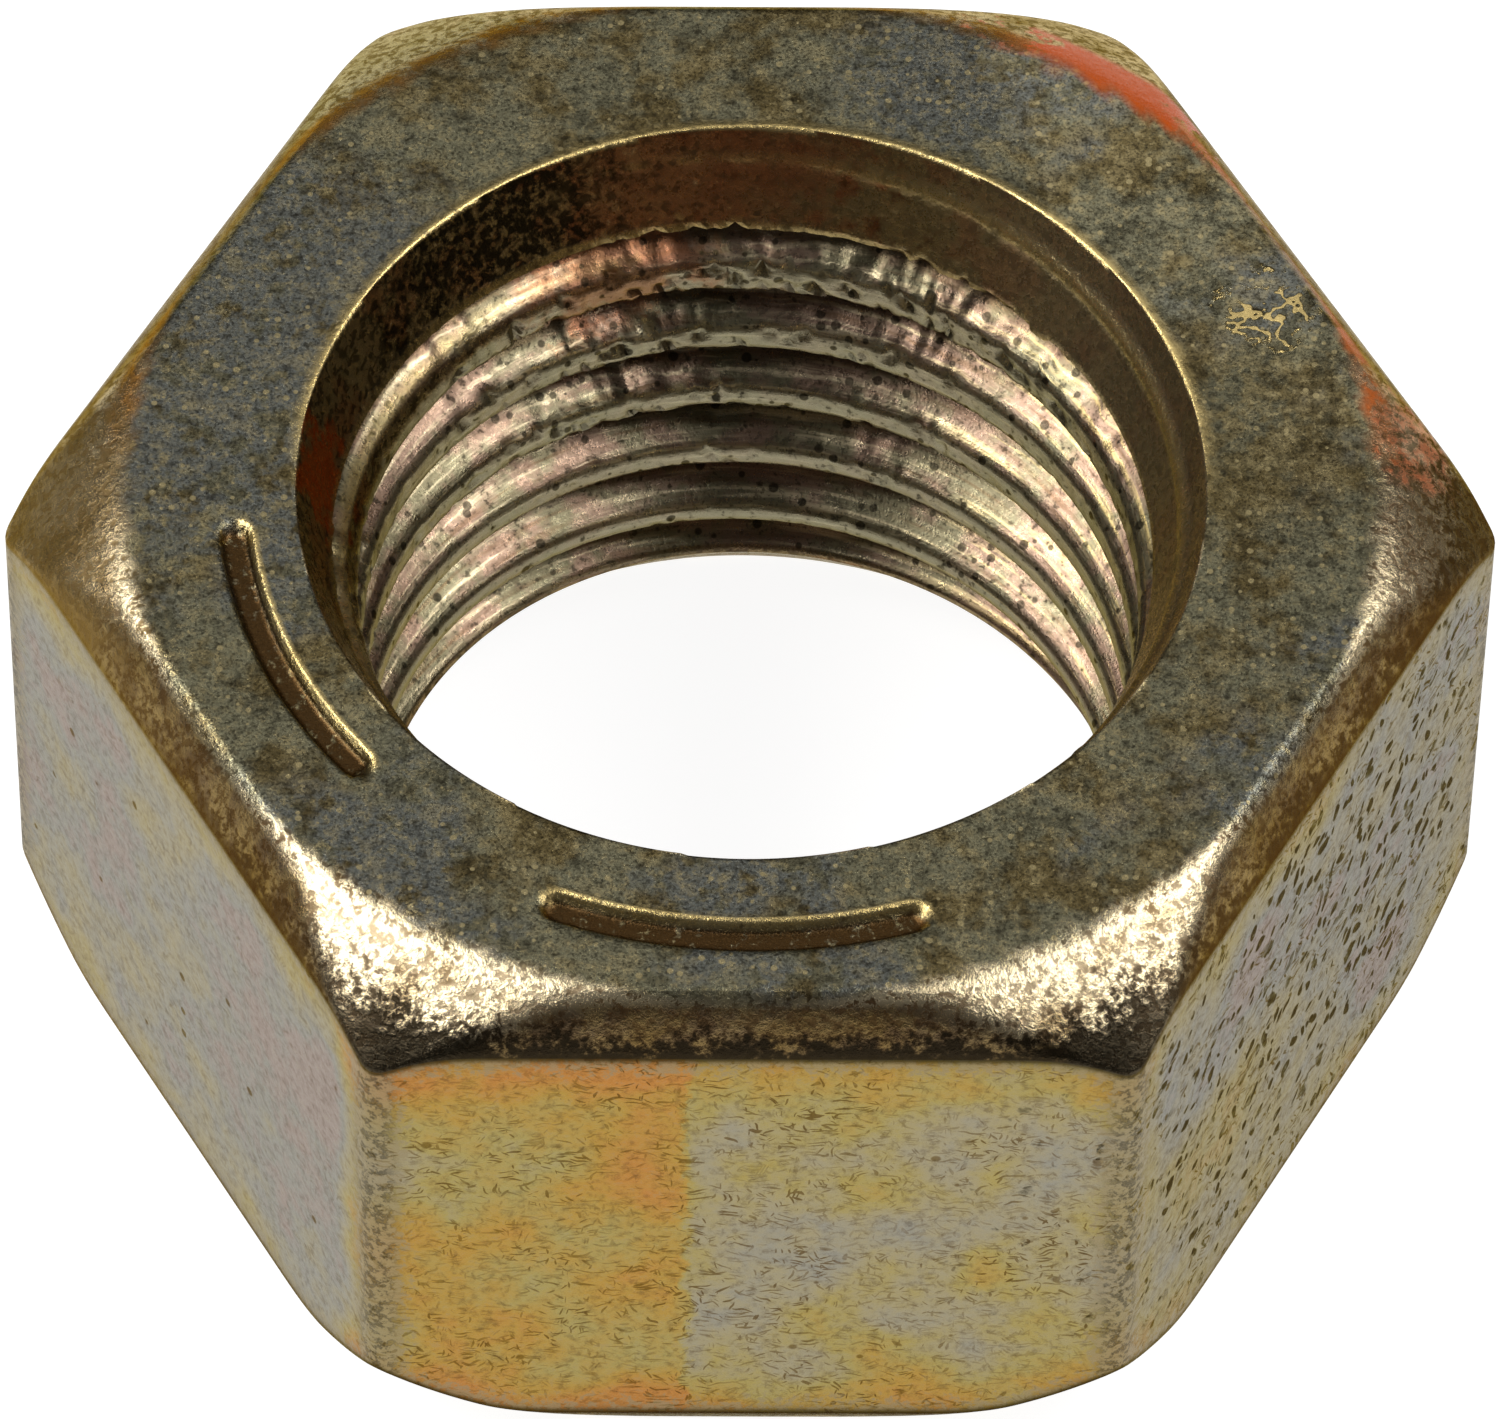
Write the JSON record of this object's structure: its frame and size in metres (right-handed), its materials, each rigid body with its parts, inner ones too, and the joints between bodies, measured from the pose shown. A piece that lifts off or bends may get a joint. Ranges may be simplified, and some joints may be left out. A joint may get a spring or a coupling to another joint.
{
  "type": "hex nut",
  "caption": "Plain hexagon nut with a fine right-hand internal thread, chamfered and countersunk at both ends, yellow zinc plated.",
  "frame": {"origin": "centre of the threaded hole on the lower bearing face", "axes": "+Z along the thread axis towards the marked bearing face, +X towards a corner of the hexagon, +Y square to a flat"},
  "size_m": [0.0164, 0.0142, 0.0083],
  "materials": {
    "yellow_zinc": "yellow zinc chromate plating, satin and mottled"
  },
  "bodies": {
    "root": {"nut_body": "yellow_zinc"}
  },
  "joints": []
}
